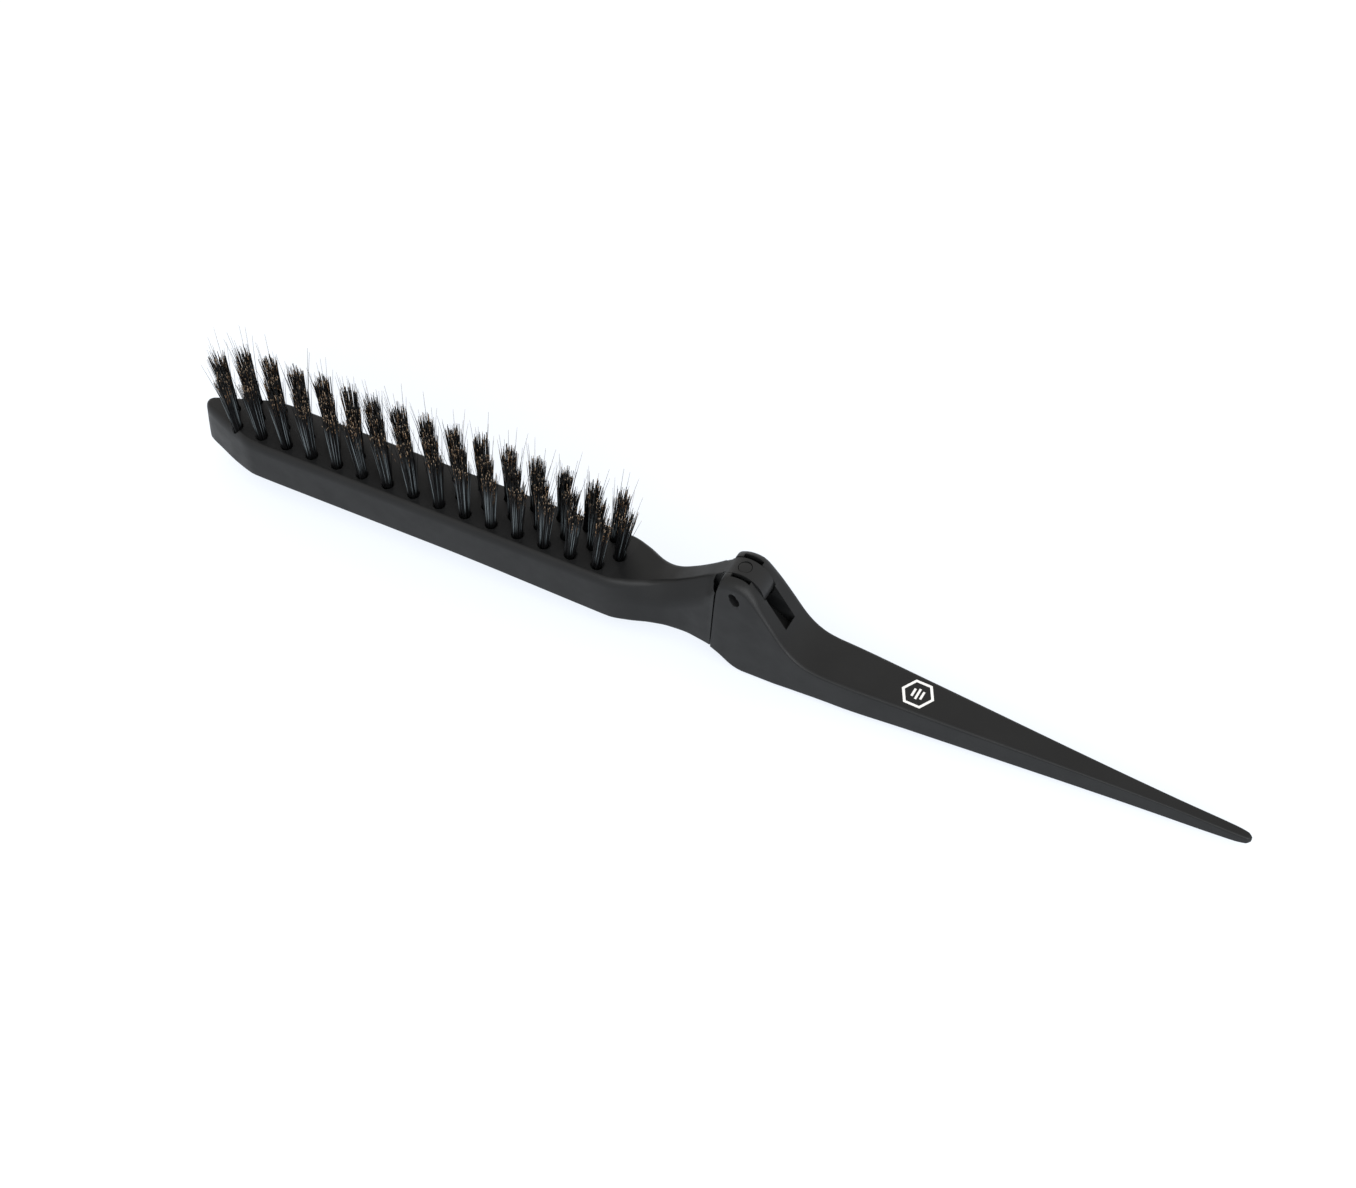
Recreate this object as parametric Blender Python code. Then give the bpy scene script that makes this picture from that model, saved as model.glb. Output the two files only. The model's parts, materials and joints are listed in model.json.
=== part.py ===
"""Folding back-combing brush with a pointed tail: a moulded head that carries three rows of bristle
tufts, hinged to a clevis on the tail handle, with a sprung lock button in the hinge's crown.

Frame: +X runs from the head's tip to the tail's tip, +Z is the bristle side, and the origin is the
centre of the bounding box's bottom. Lengths are metres; MM turns millimetres into metres.
"""

import math
from collections import namedtuple

import bmesh
import bpy
import numpy as np
from mathutils import Matrix, Vector

MM = 0.001
OBJECT = "folding_back_comb_brush"

# Head
HEAD_TOP_Z = 15.6 * MM

# Tufts: a near, a middle and a far row, fanned along the head
TUFTS_PER_SIDE_ROW = 15
TUFT_PITCH = 6.235 * MM
ROW_SPACING = 3.9 * MM
FIRST_TUFT_X = -109.3 * MM
LEAN_AT_TIP = math.radians(-8.0)
LEAN_AT_NECK = math.radians(15.0)
HOLE_RADIUS = 1.25 * MM
HOLE_DEPTH = 6.0 * MM
TUFT_FOOT = 5.6 * MM
TUFT_HEIGHT = 14.0 * MM
TUFT_FOOT_RADIUS = 0.80 * MM
TUFT_TIP_RADIUS = 1.60 * MM

# Hinge
PIN_X = 10.8 * MM
PIN_Z = 22.9 * MM
PIN_RADIUS = 1.0 * MM
PIN_CLEARANCE = 0.09 * MM
PIN_HALF_LENGTH = 3.8 * MM
CHEEK_HALF_WIDTH = 5.4 * MM
CROWN_HALF_WIDTH = 5.1 * MM
CROWN_RADIUS = 5.1 * MM
CROWN_ROUNDING = 2.4 * MM
KNUCKLE_RADIUS = 5.0 * MM
KNUCKLE_HALF_WIDTH = 2.15 * MM
POCKET_RADIUS = 5.4 * MM
POCKET_HALF_WIDTH = 2.45 * MM
WEB_HALF_WIDTH = 1.65 * MM
SLOT_HALF_WIDTH = 1.95 * MM
SLOT_REACH = 9.6 * MM
# The socket in the head's end that the cheeks' round crowns turn in, deeper beside the tongue
SOCKET_CLEARANCE = 0.45 * MM
SOCKET_RELIEF = (5.9 * MM, 2.9 * MM)
# An oval recess in each cheek over the pin's end: its two centres from the pin, and their radii
RECESS_FLOOR = 3.9 * MM
RECESS_LOW = (0.35 * MM, 0.05 * MM, 1.1 * MM)
RECESS_HIGH = (-0.4 * MM, 1.0 * MM, 0.85 * MM)
# The parting line between head and handle leans from its bottom to its top, in millimetres
PARTING_BOTTOM = (4.1, 4.2)
PARTING_TOP = (6.7, 24.6)
PARTING_GAP = 0.36

# Lock button, its cross foot and its spring
BUTTON_RADIUS = 1.35 * MM
BUTTON_CLEARANCE = 0.2 * MM
BUTTON_TRAVEL = 0.8 * MM
FOOT_HALF_LENGTH = 1.9 * MM
FOOT_HALF_WIDTH = 2.05 * MM
FOOT_LOW = 2.95 * MM
FOOT_HIGH = 3.75 * MM
CAVITY_FLOOR = 1.5 * MM
NOTCH_SHIFT = 0.45 * MM
NOTCH_HALF_LENGTH = 2.1 * MM
NOTCH_OUTER = 3.25 * MM
NOTCH_FLOOR = 2.4 * MM
SPRING_RADIUS = 0.8 * MM
SPRING_WIRE_RADIUS = 0.13 * MM
SPRING_TURNS = 3

# Tail handle
HEEL_Z = 0.0

CORNER_STEPS = 3
RIB_STEP = 3.0 * MM

# A rib is one cross-section of a lofted body, in millimetres: its top and bottom points in the XZ
# plane, its half widths at the top, shoulder and bottom, the shoulder's height as a share of the
# whole, and how far its top, shoulder and bottom corners are rounded back.
Rib = namedtuple("Rib", "top_x top_z low_x low_z top shoulder low share top_r shoulder_r low_r")



def parting_x(z, side):
    """Where the head's end (side -1) or the handle's front (side 1) stands at this height."""
    share = (z - PARTING_BOTTOM[1]) / (PARTING_TOP[1] - PARTING_BOTTOM[1])
    middle = PARTING_BOTTOM[0] + share * (PARTING_TOP[0] - PARTING_BOTTOM[0])
    return middle + side * PARTING_GAP / 2.0


HEAD_RIBS = (
    Rib(-119.3, 15.2, -120.0, 5.3, 0.9, 1.0, 1.0, 0.5, 0.6, 1.0, 0.6),
    Rib(-118.6, 15.5, -119.3, 4.75, 1.6, 1.8, 1.8, 0.5, 0.9, 1.0, 0.8),
    Rib(-115.0, 15.6, -115.6, 4.65, 3.1, 3.4, 3.4, 0.5, 1.1, 1.0, 0.9),
    Rib(-109.0, 15.6, -109.3, 4.6, 5.4, 5.7, 5.8, 0.5, 1.1, 1.0, 0.9),
    Rib(-105.0, 15.6, -104.8, 4.6, 6.6, 6.8, 6.85, 0.5, 1.1, 1.0, 0.9),
    Rib(-100.5, 15.6, -99.8, 4.6, 6.9, 6.9, 6.9, 0.5, 1.1, 1.0, 0.9),
    Rib(-60.0, 15.6, -60.0, 4.6, 6.9, 6.9, 6.9, 0.5, 1.1, 1.0, 0.9),
    Rib(-24.0, 15.6, -24.0, 3.55, 6.9, 6.9, 6.9, 0.5, 1.1, 1.0, 0.9),
    Rib(-19.0, 15.6, -18.7, 3.35, 6.75, 6.9, 6.9, 0.55, 1.1, 1.2, 1.0),
    Rib(-14.7, 15.6, -14.3, 3.55, 5.6, 6.1, 6.25, 0.58, 1.1, 1.4, 1.2),
    Rib(-10.4, 15.7, -10.0, 3.9, 3.55, 4.95, 5.2, 0.6, 0.9, 1.6, 1.3),
    Rib(-6.1, 17.0, -5.8, 4.25, 2.3, 4.35, 4.6, 0.62, 0.7, 1.8, 1.3),
    Rib(-1.8, 19.6, -2.2, 4.4, 2.0, 4.4, 4.5, 0.66, 0.6, 1.8, 1.3),
    Rib(2.5, 22.8, 1.4, 4.42, 1.9, 4.9, 4.85, 0.7, 0.6, 1.6, 1.2),
    Rib(parting_x(26.0, -1), 26.0, parting_x(4.4, -1), 4.4, 2.3, 5.3, 5.15, 0.86, 0.7, 1.6, 1.0),
)

TAIL_RIBS = (
    Rib(29.5, 9.05, 32.0, 0.7, 5.4, 5.4, 5.4, 0.5, 0.9, 1.0, 1.0),
    Rib(48.8, 7.95, 48.8, 0.75, 4.5, 4.5, 4.5, 0.5, 0.9, 1.0, 1.0),
    Rib(105.0, 4.75, 105.0, 0.75, 1.35, 1.35, 1.35, 0.5, 0.5, 0.5, 0.5),
    Rib(116.5, 4.0, 116.5, 1.1, 1.1, 1.1, 1.1, 0.5, 0.6, 0.6, 0.6),
    Rib(119.2, 3.6, 119.2, 1.5, 0.85, 0.85, 0.85, 0.5, 0.5, 0.5, 0.5),
    Rib(120.0, 3.0, 120.0, 2.2, 0.35, 0.35, 0.35, 0.5, 0.15, 0.15, 0.15),
)

# Plastic and bristle finishes: linear colour, roughness, metallic
FINISHES = {
    "soft_touch_black": ((0.032, 0.035, 0.038), 0.55, 0.0),
    "button_black": ((0.028, 0.030, 0.030), 0.5, 0.0),
    "steel": ((0.42, 0.42, 0.43), 0.35, 1.0),
    "bristle_black": ((0.012, 0.011, 0.010), 0.45, 0.0),
}


def material(slot):
    """The finish of this slot as a Principled material, made once."""
    found = bpy.data.materials.get(slot)
    if found:
        return found
    colour, roughness, metallic = FINISHES[slot]
    made = bpy.data.materials.new(slot)
    made.use_nodes = True
    shader = made.node_tree.nodes["Principled BSDF"]
    shader.inputs["Base Color"].default_value = (*colour, 1.0)
    shader.inputs["Roughness"].default_value = roughness
    shader.inputs["Metallic"].default_value = metallic
    return made


def clear_scene():
    for obj in list(bpy.data.objects):
        bpy.data.objects.remove(obj, do_unlink=True)


def collection(name):
    made = bpy.data.collections.new(name)
    bpy.context.scene.collection.children.link(made)
    return made


def add_object(name, mesh, into, slot=None, location=(0.0, 0.0, 0.0), rotation=(0.0, 0.0, 0.0)):
    obj = bpy.data.objects.new(name, mesh)
    obj.location = location
    obj.rotation_euler = rotation
    into.objects.link(obj)
    if slot and not mesh.materials:
        mesh.materials.append(material(slot))
    return obj


def as_helper(obj):
    """Marks an object as a cutter or a joined-on shape, which is not a part itself."""
    obj.hide_render = True
    obj.display_type = "WIRE"
    return obj


def mesh_from(name, fill, smooth_angle=math.radians(35.0)):
    """A mesh from a function that fills a bmesh, with its rounds shaded smooth."""
    bm = bmesh.new()
    fill(bm)
    bmesh.ops.recalc_face_normals(bm, faces=bm.faces)
    mesh = bpy.data.meshes.new(name)
    bm.to_mesh(mesh)
    bm.free()
    mesh.shade_smooth()
    mesh.set_sharp_from_angle(angle=smooth_angle)
    return mesh


def cylinder_mesh(name, radius, half_length, sides, axis="Z", tip_radius=None):
    """A closed cylinder or frustum centred on the origin, along Z or Y."""
    turn = Matrix.Rotation(math.radians(-90.0), 4, "X") if axis == "Y" else Matrix.Identity(4)

    def fill(bm):
        bmesh.ops.create_cone(
            bm,
            cap_ends=True,
            segments=sides,
            radius1=radius,
            radius2=radius if tip_radius is None else tip_radius,
            depth=2.0 * half_length,
            matrix=turn,
        )

    return mesh_from(name, fill)


def box_mesh(name, low, high):
    def fill(bm):
        centre = (Vector(low) + Vector(high)) / 2.0
        size = Vector(high) - Vector(low)
        bmesh.ops.create_cube(bm, size=1.0, matrix=Matrix.LocRotScale(centre, None, size))

    return mesh_from(name, fill)


def plate_mesh(name, outline, half_width):
    """A flat outline in the XZ plane, extruded to both sides of the XZ plane."""

    def fill(bm):
        near = [bm.verts.new((x, -half_width, z)) for x, z in outline]
        face = bm.faces.new(near)
        grown = bmesh.ops.extrude_face_region(bm, geom=[face])
        moved = [item for item in grown["geom"] if isinstance(item, bmesh.types.BMVert)]
        bmesh.ops.translate(bm, verts=moved, vec=(0.0, 2.0 * half_width, 0.0))

    return mesh_from(name, fill)


def turned_mesh(name, profile, sides):
    """A closed body turned about Y from (radius, y) points that start and end on the axis."""

    def fill(bm):
        verts = [bm.verts.new((radius, y, 0.0)) for radius, y in profile]
        edges = [bm.edges.new(pair) for pair in zip(verts, verts[1:])]
        turn = {"cent": (0.0, 0.0, 0.0), "axis": (0.0, 1.0, 0.0), "angle": 2.0 * math.pi}
        bmesh.ops.spin(bm, geom=verts + edges, steps=sides, use_merge=True, **turn)
        bmesh.ops.remove_doubles(bm, verts=bm.verts, dist=1e-6)

    return mesh_from(name, fill)


def oval_outline(first, second, steps):
    """The outline round two circles, each given as its x, its z and its radius."""
    along = Vector(second[:2]) - Vector(first[:2])
    heading = math.atan2(along.y, along.x)
    lean = math.acos((first[2] - second[2]) / along.length)
    one, two = heading + lean, heading - lean
    outline = []
    for (x, z, radius), start, end in ((first, one, two + 2.0 * math.pi), (second, two, one)):
        angles = [start + (end - start) * i / steps for i in range(steps + 1)]
        outline += [(x + radius * math.cos(angle), z + radius * math.sin(angle)) for angle in angles]
    return outline


def smooth_rows(rows, step):
    """Rows of numbers joined by a monotone cubic, sampled about every step along the top outline."""
    table = np.array(rows, float)
    span = np.hypot(*np.diff(table[:, :2], axis=0).T)
    slope = np.diff(table, axis=0) / span[:, None]
    tangent = np.zeros_like(table)
    tangent[0], tangent[-1] = slope[0], slope[-1]
    before, after = slope[:-1], slope[1:]
    same_way = before * after > 0.0
    weight_before = (span[:-1] + 2.0 * span[1:])[:, None]
    weight_after = (2.0 * span[:-1] + span[1:])[:, None]
    with np.errstate(divide="ignore", invalid="ignore"):
        mean = (weight_before + weight_after) / (weight_before / after + weight_after / before)
    tangent[1:-1] = np.where(same_way, mean, 0.0)
    out = []
    for i, length in enumerate(span):
        straight = np.allclose(tangent[i], slope[i]) and np.allclose(tangent[i + 1], slope[i])
        count = 1 if straight else max(2, math.ceil(length / step))
        for t in np.arange(count) / count:
            ease = (1.0 + 2.0 * t) * (1.0 - t) ** 2
            pull = t * (1.0 - t) ** 2 * tangent[i] - t * t * (1.0 - t) * tangent[i + 1]
            out.append(ease * table[i] + (1.0 - ease) * table[i + 1] + length * pull)
    out.append(table[-1])
    return [Rib(*row) for row in out]


def rounded_corner(before, corner, after, setback, steps):
    """The points of an arc that replaces a corner, starting and ending the setback away from it."""
    back = (before - corner).normalized()
    on = (after - corner).normalized()
    setback = min(setback, 0.45 * (before - corner).length, 0.45 * (after - corner).length)
    turn = math.pi - back.angle(on)
    weight = math.cos(turn / 2.0)
    points = []
    for i in range(steps + 1):
        t = i / steps
        a, b, c = (1.0 - t) ** 2, 2.0 * weight * t * (1.0 - t), t * t
        start, end = corner + back * setback, corner + on * setback
        points.append((start * a + corner * b + end * c) / (a + b + c))
    return points


def rib_ring(rib, steps):
    """The rib's closed outline as 3-D points, right half from top to bottom, then left."""
    low, high = Vector((rib.low_x, rib.low_z)), Vector((rib.top_x, rib.top_z))
    height = (high - low).length
    corners = (
        (Vector((rib.top, height)), rib.top_r),
        (Vector((rib.shoulder, height * rib.share)), rib.shoulder_r),
        (Vector((rib.low, 0.0)), rib.low_r),
    )
    path = [Vector((-rib.top, height)), *(corner for corner, _ in corners), Vector((-rib.low, 0.0))]
    half = []
    for i, (corner, setback) in enumerate(corners):
        half += rounded_corner(path[i], corner, path[i + 2], setback, steps)
    ring = half + [Vector((-p.x, p.y)) for p in reversed(half)]
    across = (high - low) / height
    return [Vector((low.x + across.x * p.y, p.x, low.y + across.y * p.y)) * MM for p in ring]


def loft_mesh(name, ribs, steps=CORNER_STEPS):
    """A closed body through the ribs' outlines, capped at both ends."""

    def fill(bm):
        rings = [[bm.verts.new(point) for point in rib_ring(rib, steps)] for rib in ribs]
        for one, two in zip(rings, rings[1:]):
            for i in range(len(one)):
                j = (i + 1) % len(one)
                bm.faces.new((one[i], one[j], two[j], two[i]))
        bm.faces.new(rings[0])
        bm.faces.new(list(reversed(rings[-1])))

    return mesh_from(name, fill)


def boolean(obj, other, operation):
    modifier = obj.modifiers.new(other.name, "BOOLEAN")
    modifier.operation = operation
    modifier.solver = "EXACT"
    modifier.object = other


def clevis_ribs():
    """The clevis and the slope behind it: an arc over the pin, then a slope down to the tail."""
    pin_x, pin_z = PIN_X / MM, PIN_Z / MM
    crown = CROWN_RADIUS / MM
    rounding = CROWN_ROUNDING / MM
    narrow, wide = CROWN_HALF_WIDTH / MM, CHEEK_HALF_WIDTH / MM

    def rib(top_x, top_z, low_x, low_z, top, top_r):
        return Rib(top_x, top_z, low_x, low_z, top, wide, wide, 0.7, top_r, 1.0, 1.0)

    rows = [rib(parting_x(25.3, 1), 25.3, parting_x(4.2, 1), 4.2, narrow, rounding)]
    over_pin = (
        (131.0, 6.3, 2.9),
        (119.0, 8.4, 1.1),
        (105.0, 9.9, 0.3),
        (88.0, 11.4, HEEL_Z),
        (70.0, 13.0, HEEL_Z),
    )
    for angle, low_x, low_z in over_pin:
        turn = math.radians(angle)
        top_x, top_z = pin_x + crown * math.cos(turn), pin_z + crown * math.sin(turn)
        rows.append(rib(top_x, top_z, low_x, low_z, narrow, rounding))
    down_the_slope = (
        (14.8, 25.2, 14.5, HEEL_Z, 5.2, 1.9),
        (16.6, 21.9, 16.0, HEEL_Z, 5.3, 1.4),
        (19.1, 17.5, 18.2, HEEL_Z, 5.4, 1.1),
        (21.4, 13.6, 21.5, 0.2, 5.4, 0.9),
        (23.6, 11.2, 25.0, 0.4, 5.4, 0.9),
        (26.2, 9.7, 28.5, 0.6, 5.4, 0.9),
    )
    return rows + [rib(*row) for row in down_the_slope]


def handle_ribs():
    front = clevis_ribs()
    return front[:6] + smooth_rows(front[6:] + list(TAIL_RIBS), RIB_STEP / MM)


def pin_bore(helpers, name):
    mesh = cylinder_mesh(name, PIN_RADIUS + PIN_CLEARANCE, 2.0 * CHEEK_HALF_WIDTH, 24, "Y")
    return as_helper(add_object(name, mesh, helpers, location=(PIN_X, 0.0, PIN_Z)))


def make_handle(parts, helpers):
    """Clevis, slope and pointed tail in one moulding, slotted for the head's tongue."""
    handle = add_object("handle", loft_mesh("handle", handle_ribs()), parts, "soft_touch_black")
    x, z = PIN_X, PIN_Z
    slot_outline = (
        (x - 9.0 * MM, z - 6.0 * MM),
        (x + 2.0 * MM, z - 6.0 * MM),
        (x + SLOT_REACH, z - 10.8 * MM),
        (x + SLOT_REACH, z + 8.0 * MM),
        (x - 9.0 * MM, z + 8.0 * MM),
    )
    slot = plate_mesh("clevis_slot", slot_outline, SLOT_HALF_WIDTH)
    pocket = cylinder_mesh("knuckle_pocket", POCKET_RADIUS, POCKET_HALF_WIDTH, 40, "Y")
    notch_low = (x + NOTCH_SHIFT - NOTCH_HALF_LENGTH, -NOTCH_OUTER, z + NOTCH_FLOOR)
    notch_high = (x + NOTCH_SHIFT + NOTCH_HALF_LENGTH, NOTCH_OUTER, z + 2.0 * CROWN_RADIUS)
    notch = box_mesh("lock_notches", notch_low, notch_high)
    recess_half = CHEEK_HALF_WIDTH - RECESS_FLOOR
    recess = plate_mesh("pin_recess", oval_outline(RECESS_LOW, RECESS_HIGH, 8), recess_half)
    recess_y = RECESS_FLOOR + recess_half
    cutters = (
        add_object("clevis_slot", slot, helpers),
        add_object("knuckle_pocket", pocket, helpers, location=(x, 0.0, z)),
        add_object("lock_notches", notch, helpers),
        add_object("near_pin_recess", recess, helpers, location=(x, -recess_y, z)),
        add_object("far_pin_recess", recess, helpers, location=(x, recess_y, z)),
    )
    for cutter in cutters:
        boolean(handle, as_helper(cutter), "DIFFERENCE")
    boolean(handle, pin_bore(helpers, "handle_pin_bore"), "DIFFERENCE")
    return handle


def tuft_places():
    """Yields each tuft's name, hole mouth and lean angle about Y, row by row."""
    last = TUFTS_PER_SIDE_ROW - 1
    rows = (
        ("near", -ROW_SPACING, 0.0, TUFTS_PER_SIDE_ROW),
        ("middle", 0.0, -0.5, TUFTS_PER_SIDE_ROW + 1),
        ("far", ROW_SPACING, 0.0, TUFTS_PER_SIDE_ROW),
    )
    for row, y, shift, count in rows:
        for i in range(count):
            along = (i + shift) / last
            lean = LEAN_AT_TIP + (LEAN_AT_NECK - LEAN_AT_TIP) * along
            mouth = Vector((FIRST_TUFT_X + (i + shift) * TUFT_PITCH, y, HEAD_TOP_Z))
            yield f"tuft_{row}_{i + 1:02d}", mouth, lean


def tuft_holes_mesh():
    """All the blind tuft holes as one cutter mesh."""
    overshoot = 3.0 * MM

    def fill(bm):
        for _, mouth, lean in tuft_places():
            middle = Matrix.Translation((0.0, 0.0, (overshoot - HOLE_DEPTH) / 2.0))
            bmesh.ops.create_cone(
                bm,
                cap_ends=True,
                segments=12,
                radius1=HOLE_RADIUS,
                radius2=HOLE_RADIUS,
                depth=overshoot + HOLE_DEPTH,
                matrix=Matrix.Translation(mouth) @ Matrix.Rotation(lean, 4, "Y") @ middle,
            )

    return mesh_from("tuft_holes", fill)


def tongue_outline():
    """Side outline of the web that carries the neck's top on to the knuckle's crown."""
    x, z = PIN_X, PIN_Z
    arc = [math.radians(angle) for angle in (125.0, 113.0, 101.0, 90.0)]
    crown = [(x + KNUCKLE_RADIUS * math.cos(a), z + KNUCKLE_RADIUS * math.sin(a)) for a in arc]
    return (
        (x - 9.5 * MM, z - 4.6 * MM),
        (x - 9.5 * MM, z - 1.8 * MM),
        (x - 8.3 * MM, z - 0.4 * MM),
        (x - 4.1 * MM, z + 3.07 * MM),
        *crown,
        (x, z - 4.6 * MM),
    )


def socket_mesh():
    """The space that the rounded cheeks need as they turn about the pin, with its clearance."""
    core = CROWN_RADIUS - CROWN_ROUNDING
    flat = CROWN_HALF_WIDTH - CROWN_ROUNDING
    round_off = CROWN_ROUNDING + SOCKET_CLEARANCE
    turns = [math.radians(angle) for angle in (90.0, 71.0, 52.0, 33.0, 14.0)]
    side = [(core + round_off * math.cos(a), flat + round_off * math.sin(a)) for a in turns]
    half = [(0.0, flat + round_off), *side, SOCKET_RELIEF]
    mirrored = [(radius, -y) for radius, y in reversed(half)]
    return turned_mesh("crown_socket", half + mirrored, 48)


def make_head(parts, helpers):
    """The moulded head: bristle bed, neck, tongue and hinge knuckle, with all the tuft holes."""
    shape = loft_mesh("head_body", smooth_rows(HEAD_RIBS, RIB_STEP / MM))
    head = add_object("head_body", shape, parts, "soft_touch_black")
    x, z = PIN_X, PIN_Z
    socket = as_helper(add_object("crown_socket", socket_mesh(), helpers, location=(x, 0.0, z)))
    boolean(head, socket, "DIFFERENCE")
    knuckle = cylinder_mesh("knuckle", KNUCKLE_RADIUS, KNUCKLE_HALF_WIDTH, 40, "Y")
    joined = (
        add_object("tongue_web", plate_mesh("tongue_web", tongue_outline(), WEB_HALF_WIDTH), helpers),
        add_object("knuckle", knuckle, helpers, location=(x, 0.0, z)),
    )
    for shape in joined:
        boolean(head, as_helper(shape), "UNION")
    bore_half = (KNUCKLE_RADIUS + 1.0 * MM - CAVITY_FLOOR) / 2.0
    bore = cylinder_mesh("button_bore", BUTTON_RADIUS + BUTTON_CLEARANCE, bore_half, 24)
    window_half = FOOT_HALF_LENGTH + BUTTON_CLEARANCE
    foot_low = (x - window_half, -4.0 * MM, z + FOOT_LOW - BUTTON_TRAVEL - 0.15 * MM)
    foot_high = (x + window_half, 4.0 * MM, z + FOOT_HIGH + 0.15 * MM)
    cutters = (
        add_object("button_bore", bore, helpers, location=(x, 0.0, z + CAVITY_FLOOR + bore_half)),
        add_object("foot_window", box_mesh("foot_window", foot_low, foot_high), helpers),
        add_object("tuft_holes", tuft_holes_mesh(), helpers),
    )
    for cutter in cutters:
        boolean(head, as_helper(cutter), "DIFFERENCE")
    boolean(head, pin_bore(helpers, "head_pin_bore"), "DIFFERENCE")
    return head


def make_tufts(parts, head):
    """One tapered plug per bristle tuft, standing in its hole and flaring towards the tips."""
    length = TUFT_FOOT + TUFT_HEIGHT
    mesh = cylinder_mesh("tuft", TUFT_FOOT_RADIUS, length / 2.0, 8, tip_radius=TUFT_TIP_RADIUS)
    mesh.transform(Matrix.Translation((0.0, 0.0, length / 2.0 - TUFT_FOOT)))
    for name, mouth, lean in tuft_places():
        tuft = add_object(name, mesh, parts, "bristle_black", mouth, (0.0, lean, 0.0))
        tuft.parent = head


def make_pin(parts):
    mesh = cylinder_mesh("hinge_pin", PIN_RADIUS, PIN_HALF_LENGTH, 24, "Y")
    return add_object("hinge_pin", mesh, parts, "steel", (PIN_X, 0.0, PIN_Z))


def make_button(parts, helpers, head):
    """A round button flush with the crown, on a flat cross foot."""
    top = KNUCKLE_RADIUS - 0.05 * MM
    half = (top - FOOT_LOW) / 2.0
    mesh = cylinder_mesh("lock_button", BUTTON_RADIUS, half, 24)
    mesh.transform(Matrix.Translation((0.0, 0.0, FOOT_LOW + half)))
    button = add_object("lock_button", mesh, parts, "button_black", (PIN_X, 0.0, PIN_Z))
    low = (-FOOT_HALF_LENGTH, -FOOT_HALF_WIDTH, FOOT_LOW)
    high = (FOOT_HALF_LENGTH, FOOT_HALF_WIDTH, FOOT_HIGH)
    foot = add_object("button_foot", box_mesh("button_foot", low, high), helpers)
    foot.location = (PIN_X, 0.0, PIN_Z)
    boolean(button, as_helper(foot), "UNION")
    button.parent = head
    return button


def make_spring(parts, head):
    """A three-turn coil under the button, between the cavity's floor and the foot."""
    points_per_turn = 12
    low = CAVITY_FLOOR + 0.1 * MM + SPRING_WIRE_RADIUS
    high = FOOT_LOW - 0.1 * MM - SPRING_WIRE_RADIUS
    count = SPRING_TURNS * points_per_turn + 1
    curve = bpy.data.curves.new("lock_spring", "CURVE")
    curve.dimensions = "3D"
    curve.bevel_depth = SPRING_WIRE_RADIUS
    curve.bevel_resolution = 1
    curve.use_fill_caps = True
    spline = curve.splines.new("POLY")
    spline.points.add(count - 1)
    for i, point in enumerate(spline.points):
        angle = 2.0 * math.pi * i / points_per_turn
        height = low + (high - low) * i / (count - 1)
        point.co = (SPRING_RADIUS * math.cos(angle), SPRING_RADIUS * math.sin(angle), height, 1.0)
    curve.materials.append(material("steel"))
    spring = bpy.data.objects.new("lock_spring", curve)
    spring.location = (PIN_X, 0.0, PIN_Z)
    parts.objects.link(spring)
    spring.parent = head
    return spring


def main():
    clear_scene()
    parts = collection(OBJECT)
    helpers = collection("cutters")
    make_handle(parts, helpers)
    make_pin(parts)
    fold_axis = bpy.data.objects.new("head_fold_axis", None)
    fold_axis.location = (PIN_X, 0.0, PIN_Z)
    parts.objects.link(fold_axis)
    head = make_head(parts, helpers)
    make_tufts(parts, head)
    make_button(parts, helpers, head)
    make_spring(parts, head)
    head.parent = fold_axis
    head.matrix_parent_inverse = Matrix.Translation(-fold_axis.location)


main()
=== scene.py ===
"""The looks of a folding back-combing brush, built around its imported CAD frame.

The two mouldings are lofted again from the CAD's ribs, with one rib of the slope eased, finer
corners and small edge radii, and every tuft becomes a bundle of separate bristles. +X runs to the
tail's tip, +Z is the bristle side, and lengths are metres; MM turns millimetres into metres.
"""

import json
import math
from collections import namedtuple

import bmesh
import bpy
import numpy as np
from mathutils import Matrix, Vector
from mathutils.bvhtree import BVHTree


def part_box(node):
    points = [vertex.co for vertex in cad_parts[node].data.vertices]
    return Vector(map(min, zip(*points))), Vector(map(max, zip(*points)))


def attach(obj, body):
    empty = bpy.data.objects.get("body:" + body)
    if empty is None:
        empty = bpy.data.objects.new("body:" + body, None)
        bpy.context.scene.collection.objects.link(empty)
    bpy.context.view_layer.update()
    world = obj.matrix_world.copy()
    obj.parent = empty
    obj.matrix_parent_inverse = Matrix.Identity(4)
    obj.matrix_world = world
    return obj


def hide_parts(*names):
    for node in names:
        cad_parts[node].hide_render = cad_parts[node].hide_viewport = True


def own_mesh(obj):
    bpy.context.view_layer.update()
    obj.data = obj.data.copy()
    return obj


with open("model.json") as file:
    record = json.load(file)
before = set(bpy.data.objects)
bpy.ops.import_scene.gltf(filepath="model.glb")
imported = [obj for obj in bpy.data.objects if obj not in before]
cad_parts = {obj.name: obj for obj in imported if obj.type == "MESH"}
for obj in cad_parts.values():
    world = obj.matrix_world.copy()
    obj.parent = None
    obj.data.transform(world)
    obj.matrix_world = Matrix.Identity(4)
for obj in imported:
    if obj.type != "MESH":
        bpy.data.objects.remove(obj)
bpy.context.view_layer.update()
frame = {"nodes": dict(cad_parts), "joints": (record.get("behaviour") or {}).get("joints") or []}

MM = 0.001
PIN = Vector(next(joint for joint in frame["joints"] if joint["name"] == "head_fold")["pos_m"])

# Camera: a long lens, high and to the tail's side of the brush, rolled a little
CAMERA_PLACE = Vector((234.7, -375.8, 561.5)) * MM
CAMERA_AZIMUTH = math.radians(32.59)
CAMERA_ELEVATION = math.radians(51.01)
CAMERA_ROLL = math.radians(-5.38)
CAMERA_LENS = 92.5
CAMERA_SENSOR = 36.0

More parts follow.
